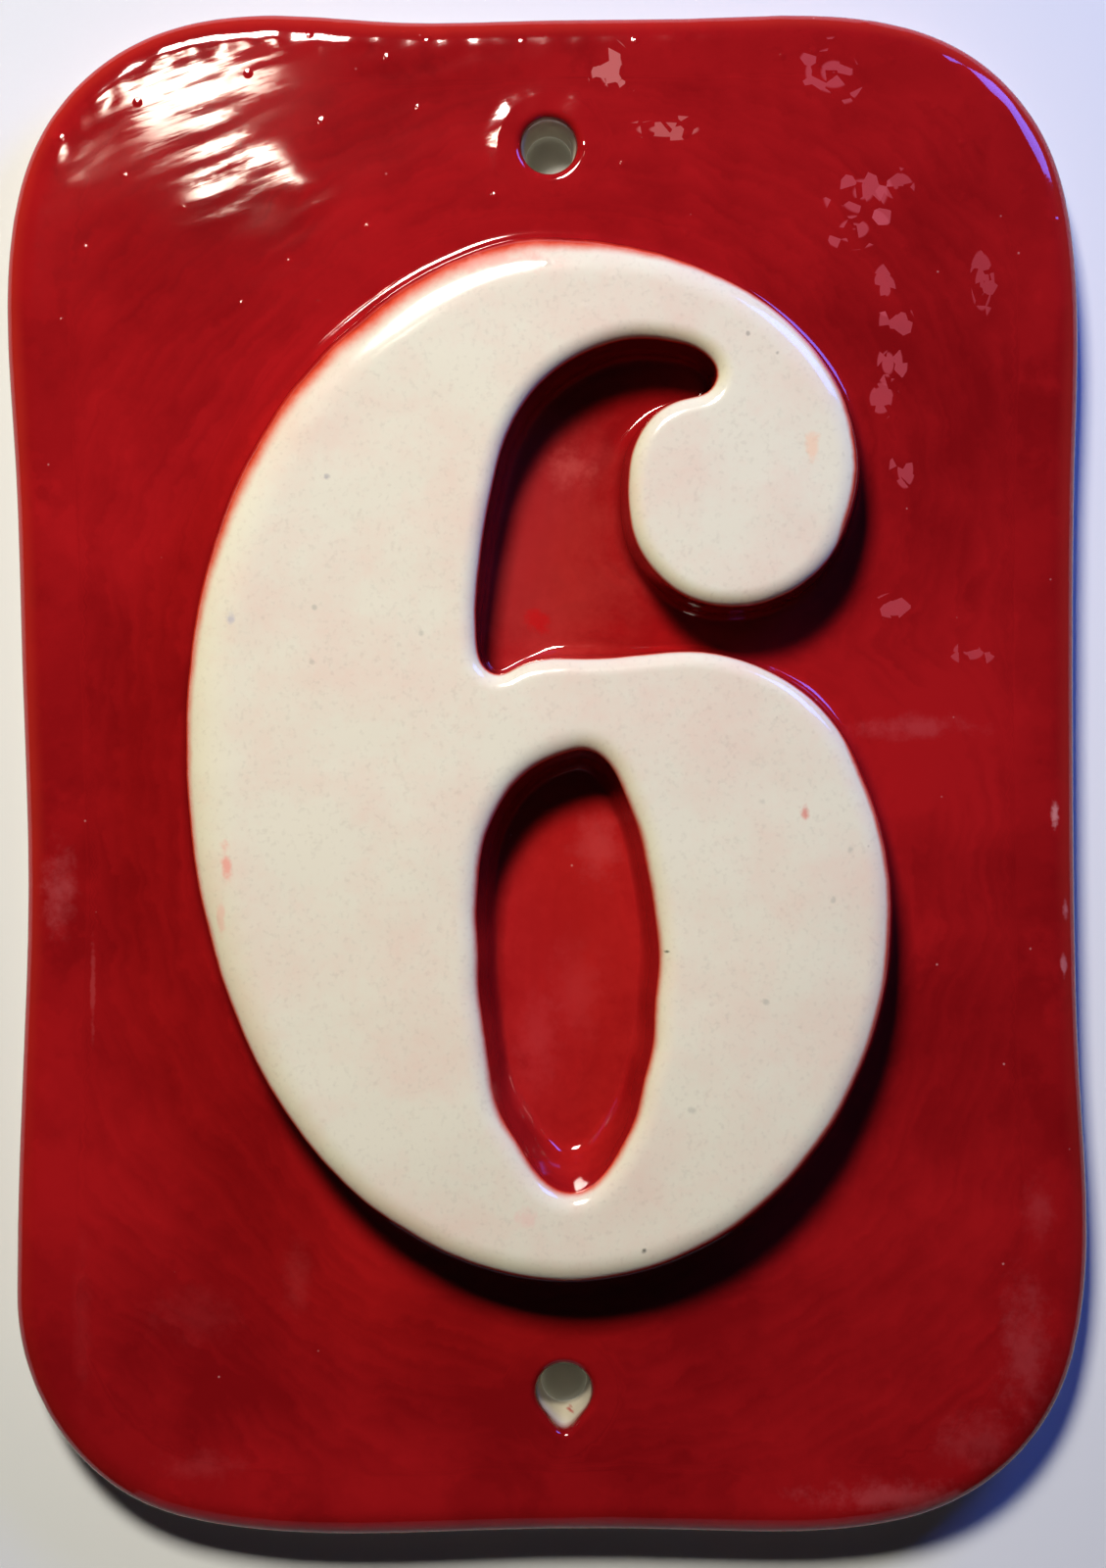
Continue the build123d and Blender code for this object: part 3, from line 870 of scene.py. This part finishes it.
# earthenware under a clear gloss glaze, coloured by brush: red round a numeral left cream. It gives hard
# glints that follow the brush strokes, red that thins on the rim, and bare clay in the holes and behind
def glazedEarthenware():
    material = bpy.data.materials.new("glazed_earthenware")
    material.use_nodes = True
    tree = material.node_tree
    tree.nodes.clear()
    place = addNode(tree, "ShaderNodeTexCoord", out="Object")
    inset = addNode(tree, "ShaderNodeAttribute", out="Fac", attribute_name="inset")
    rim = addNode(tree, "ShaderNodeAttribute", out="Fac", attribute_name="rim")
    bare = addNode(tree, "ShaderNodeAttribute", out="Fac", attribute_name="bare")
    aside = addNode(tree, "ShaderNodeSeparateXYZ", {0: place}, out="X")
    along = addNode(tree, "ShaderNodeSeparateXYZ", {0: place}, out="Z")
    mottle = addNode(tree, "ShaderNodeTexNoise", {
        "Vector": place, "Scale": 1 / (glaze["mottleSize"] * mm), "Detail": 7.0, "Roughness": 0.62,
    })
    blush = addNode(tree, "ShaderNodeTexNoise", {
        "Vector": place, "Scale": 1 / (glaze["pinkSize"] * mm), "Detail": 6.0, "Roughness": 0.72,
    })
    fray = addNode(tree, "ShaderNodeTexNoise", {
        "Vector": place, "Scale": 1 / (glaze["fraySize"] * mm), "Detail": 5.0, "Roughness": 0.65,
    })
    # strokes run round the numeral: quick change across them, slow change along
    wander = addNode(tree, "ShaderNodeMath", {
        0: mottle, 1: glaze["strokeWander"], 2: inset,
    }, operation="MULTIPLY_ADD")
    slow = 1 / (glaze["strokeRun"] * mm)
    around = addNode(tree, "ShaderNodeCombineXYZ", {
        "X": addNode(tree, "ShaderNodeMath", {0: wander, 1: 1 / glaze["strokeSize"]}, operation="MULTIPLY"),
        "Y": addNode(tree, "ShaderNodeMath", {0: aside, 1: slow}, operation="MULTIPLY"),
        "Z": addNode(tree, "ShaderNodeMath", {0: along, 1: slow}, operation="MULTIPLY"),
    })
    stroke = addNode(tree, "ShaderNodeTexNoise", {"Vector": around, "Scale": 1.0, "Detail": 4.0})
    patch = addNode(tree, "ShaderNodeMath", {
        0: stroke, 1: glaze["strokeShare"], 2: mottle,
    }, operation="MULTIPLY_ADD")
    shade = addNode(tree, "ShaderNodeMapRange", {
        "Value": patch, "From Min": glaze["redFade"][0], "From Max": glaze["redFade"][1],
    })
    red = addNode(tree, "ShaderNodeMix", {
        "Factor": shade, "A": linear(glaze["deepRed"]), "B": linear(glaze["red"]),
    }, data_type="RGBA")
    # the red ran thin on the rim; along the bottom it is kept darker as painted shade
    thin = addNode(tree, "ShaderNodeMath", {0: mottle, 1: glaze["rimWander"], 2: rim}, operation="MULTIPLY_ADD")
    rimThinWithShade = addNode(tree, "ShaderNodeMapRange", {
        "Value": along, "From Min": glaze["rimShadeHeights"][0] * mm, "From Max": glaze["rimShadeHeights"][1] * mm,
        "To Min": glaze["rimThinShaded"][0], "To Max": glaze["rimThinShaded"][1],
    })
    onRim = addNode(tree, "ShaderNodeMapRange", {
        "Value": thin, "From Min": glaze["rimFade"][0], "From Max": glaze["rimFade"][1], "To Max": rimThinWithShade,
    }, interpolation_type="SMOOTHSTEP")
    red = addNode(tree, "ShaderNodeMix", {
        "Factor": onRim, "A": red, "B": linear(glaze["thinRed"]),
    }, data_type="RGBA")
    reflectionCells = addNode(tree, "ShaderNodeTexVoronoi", {
        "Vector": place, "Scale": 1 / (glaze["reflectionSize"] * mm),
    }, out="Color")
    # painted light and reflection on the counters' floors
    red = spots(tree, place, blush, red, paintedFloorLight, softness["paintedFloorLight"])
    # painted reflections: dull pink patches on the red
    red = spots(tree, place, reflectionCells, red, paintedReflections, softness["paintedReflections"])
    red = spots(tree, place, fray, red, scuffs, softness["scuffs"])
    # cream with a blush of red and fine grain
    blushed = addNode(tree, "ShaderNodeMapRange", {
        "Value": blush, "From Min": glaze["pinkFade"][0], "From Max": glaze["pinkFade"][1],
        "To Max": glaze["pinkMost"],
    })
    body = addNode(tree, "ShaderNodeMix", {
        "Factor": mottle, "A": linear(glaze["cream"]), "B": linear(glaze["greyCream"]),
    }, data_type="RGBA")
    cream = addNode(tree, "ShaderNodeMix", {
        "Factor": blushed, "A": body, "B": linear(glaze["pink"]),
    }, data_type="RGBA")
    grain = addNode(tree, "ShaderNodeTexNoise", {
        "Vector": place, "Scale": 1 / (glaze["grainSize"] * mm), "Detail": 3.0,
    })
    grainy = addNode(tree, "ShaderNodeMapRange", {
        "Value": grain, "From Min": glaze["grainFade"][0], "From Max": glaze["grainFade"][1],
        "To Max": glaze["grainMost"],
    })
    cream = addNode(tree, "ShaderNodeMix", {
        "Factor": grainy, "A": cream, "B": linear(glaze["dust"]),
    }, data_type="RGBA")
    # the cream's border: red, then a thin orange fringe, then cream
    ragged = addNode(tree, "ShaderNodeMath", {
        0: blush, 1: glaze["borderWander"], 2: inset,
    }, operation="MULTIPLY_ADD")
    fringed = addNode(tree, "ShaderNodeMapRange", {
        "Value": ragged, "From Min": glaze["fringeFade"][0], "From Max": glaze["fringeFade"][1],
    }, interpolation_type="SMOOTHSTEP")
    painted = addNode(tree, "ShaderNodeMapRange", {
        "Value": ragged, "From Min": glaze["creamFade"][0], "From Max": glaze["creamFade"][1],
    }, interpolation_type="SMOOTHSTEP")
    colour = addNode(tree, "ShaderNodeMix", {
        "Factor": fringed, "A": red, "B": linear(glaze["fringe"]),
    }, data_type="RGBA")
    colour = addNode(tree, "ShaderNodeMix", {"Factor": painted, "A": colour, "B": cream}, data_type="RGBA")
    colour = spots(tree, place, fray, colour, marks, softness["marks"])
    # specks fired into the glaze: grey dust on the cream, and on the red pale specks that are painted glints
    dust = addNode(tree, "ShaderNodeTexVoronoi", {
        "Vector": place, "Scale": 1 / (glaze["speckGap"] * mm),
    }, out="Distance")
    dustAndGlints = addNode(tree, "ShaderNodeMapRange", {
        "Value": dust, "From Min": glaze["speckRadius"] / glaze["speckGap"], "From Max": 0.0,
        "To Max": glaze["speckMost"],
    })
    dustAndGlintColour = addNode(tree, "ShaderNodeMix", {
        "Factor": painted, "A": linear(glaze["glintSpeck"]), "B": linear(glaze["dust"]),
    }, data_type="RGBA")
    colour = addNode(tree, "ShaderNodeMix", {"Factor": dustAndGlints, "A": colour, "B": dustAndGlintColour}, data_type="RGBA")
    # bare clay, clouded by the kiln
    clouded = addNode(tree, "ShaderNodeMapRange", {
        "Value": blush, "From Min": glaze["clayFade"][0], "From Max": glaze["clayFade"][1],
    })
    clay = addNode(tree, "ShaderNodeMix", {
        "Factor": clouded, "A": linear(glaze["clay"]), "B": linear(glaze["darkClay"]),
    }, data_type="RGBA")
    colour = addNode(tree, "ShaderNodeMix", {"Factor": bare, "A": colour, "B": clay}, data_type="RGBA")
    colour = spots(tree, place, fray, colour, flecks, softness["flecks"])
    glossy = addNode(tree, "ShaderNodeMapRange", {
        "Value": painted, "To Min": glaze["gloss"], "To Max": glaze["creamGloss"],
    })
    rough = addNode(tree, "ShaderNodeMapRange", {
        "Value": bare, "To Min": glossy, "To Max": glaze["clayRough"],
    })
    # relief too fine for the mesh: bristle lines on a slant, and grit towards the top edge
    slanted = addNode(tree, "ShaderNodeMapping", {
        "Vector": place,
        "Rotation": (0, -np.radians(glaze["bristleSlant"]), 0),
        "Scale": (glaze["bristleRun"], 1, 1),
    }, vector_type="TEXTURE")
    bristles = addNode(tree, "ShaderNodeTexNoise", {
        "Vector": slanted, "Scale": 1 / (glaze["bristleSize"] * mm), "Detail": 3.0,
    })
    grit = addNode(tree, "ShaderNodeTexVoronoi", {
        "Vector": place, "Scale": 1 / (glaze["gritGap"] * mm),
    }, out="Distance")
    gritHeight = addNode(tree, "ShaderNodeMapRange", {
        "Value": along, "From Min": glaze["gritHeights"][0] * mm, "From Max": glaze["gritHeights"][1] * mm,
        "To Max": glaze["gritDepth"] / glaze["bristleDepth"],
    })
    gritty = addNode(tree, "ShaderNodeMapRange", {
        "Value": grit, "From Min": glaze["gritRadius"] / glaze["gritGap"], "From Max": 0.0,
        "To Max": gritHeight,
    }, interpolation_type="SMOOTHSTEP")
    relief = addNode(tree, "ShaderNodeMath", {0: bristles, 1: gritty}, operation="ADD")
    bump = addNode(tree, "ShaderNodeBump", {
        "Height": relief, "Distance": glaze["bristleDepth"] * mm, "Strength": 1.0,
    })
    surface = addNode(tree, "ShaderNodeBsdfPrincipled", {
        "Base Color": colour, "Roughness": rough, "Normal": bump, "IOR": glaze["ior"],
    })
    addNode(tree, "ShaderNodeOutputMaterial", {"Surface": surface})
    return material


plaqueMesh.materials.append(glazedEarthenware())
print("glaze done")

stage = {
    "wall": "#CFD3D2",
    "floor": "#E9E7E2",
    "wallGap": 0.3,         # mm behind the back
    "wallSize": 520.0,
    "floorSize": 400.0,
    "floorDrop": 360.0,
}


# flat sheet through four corners in mm
def sheet(name, corners, material):
    mesh = bpy.data.meshes.new(name)
    mesh.from_pydata((np.array(corners) * mm).tolist(), [], [(0, 1, 2, 3)])
    mesh.materials.append(material)
    made = bpy.data.objects.new(name, mesh)
    bpy.context.collection.objects.link(made)
    return made


# matt paper or plaster; a one-sided sheet lets light and sight through from behind
def mattSheet(name, colour, oneSided):
    material = bpy.data.materials.new(name)
    material.use_nodes = True
    tree = material.node_tree
    tree.nodes.clear()
    surface = addNode(tree, "ShaderNodeBsdfDiffuse", {"Color": linear(colour)})
    if oneSided:
        behind = addNode(tree, "ShaderNodeNewGeometry", out="Backfacing")
        clear = addNode(tree, "ShaderNodeBsdfTransparent")
        surface = addNode(tree, "ShaderNodeMixShader", {0: behind, 1: surface, 2: clear})
    addNode(tree, "ShaderNodeOutputMaterial", {"Surface": surface})
    return material


half, gap, drop = stage["wallSize"] / 2, stage["wallGap"], stage["floorDrop"]
wall = sheet("wall", [(-half, gap, -drop), (half, gap, -drop), (half, gap, half), (-half, gap, half)],
             mattSheet("pale_wall", stage["wall"], True))
wall.visible_shadow = False     # so that the lamp behind it reaches the plaque's back
half = stage["floorSize"] / 2
sheet("floor", [(-half, -half, -drop), (half, -half, -drop), (half, half, -drop), (-half, half, -drop)],
      mattSheet("pale_floor", stage["floor"], False))

# places and sizes in mm, spread in degrees, power in watts
lights = {
    "softbox": {             # main lamp, upper left
        "at": (-115, -452, 332), "aim": (-15, 0, -14), "size": (120, 115),
        "spread": 60, "power": 0.455, "colour": "#FFF7EC",
    },
    "streak": {              # narrow lamp, for its reflection in the upper left corner alone
        "at": (-120, -540, 222), "aim": (-36, -7, 63), "size": (64, 24),
        "spread": 6, "power": 0.00025, "colour": "#FFF3DF",
    },
    "window": {              # blue light from the right
        "at": (230, -170, 240), "aim": (0, 0, 0), "size": (140, 140),
        "spread": 120, "power": 0.34, "colour": "#507BFF",
    },
    "behind": {              # lights the back
        "at": (0, 560, 60), "aim": (0, 0, 0), "size": (300, 300),
        "spread": 180, "power": 2.0, "colour": "#FFFFFF",
    },
}


# oblong soft lamp turned to its aim, its beam kept within the spread
def softLamp(name, settings):
    data = bpy.data.lights.new(name, "AREA")
    data.shape = "RECTANGLE"
    data.size, data.size_y = np.array(settings["size"]) * mm
    data.spread = np.radians(settings["spread"])
    data.energy = settings["power"]
    data.color = linear(settings["colour"])[:3]
    lamp = bpy.data.objects.new(name, data)
    lamp.location = Vector(settings["at"]) * mm
    beam = Vector(settings["aim"]) * mm - lamp.location
    lamp.rotation_euler = beam.to_track_quat("-Z", "Y").to_euler()
    bpy.context.collection.objects.link(lamp)


for name, settings in lights.items():
    softLamp(name, settings)

# pale surroundings that light the plaque only a little
sky = {"colour": "#EDEFF4", "seen": 0.8, "lighting": 0.016}
world = bpy.data.worlds.new("studio")
bpy.context.scene.world = world
world.use_nodes = True
tree = world.node_tree
tree.nodes.clear()
seen = addNode(tree, "ShaderNodeLightPath", out="Is Camera Ray")
strength = addNode(tree, "ShaderNodeMapRange", {
    "Value": seen, "To Min": sky["lighting"], "To Max": sky["seen"],
})
glow = addNode(tree, "ShaderNodeBackground", {"Color": linear(sky["colour"]), "Strength": strength})
addNode(tree, "ShaderNodeOutputWorld", {"Surface": glow})

camera = {
    "at": (0.65, -267.0, -1.02),
    "focalPixels": 2708.0,
    "imageHeight": 1600,
    "sensor": 36.0,
    "clipStart": 10.0,
}
data = bpy.data.cameras.new("camera")
data.sensor_width = camera["sensor"]
data.lens = camera["focalPixels"] / camera["imageHeight"] * camera["sensor"]
data.clip_start = camera["clipStart"] * mm
viewer = bpy.data.objects.new("camera", data)
viewer.location = Vector(camera["at"]) * mm
viewer.rotation_euler = (np.pi / 2, 0, 0)
bpy.context.collection.objects.link(viewer)
bpy.context.scene.camera = viewer
bpy.context.scene.view_settings.view_transform = "Standard"
bpy.context.scene.view_settings.look = "Medium High Contrast"

print("scene ready")
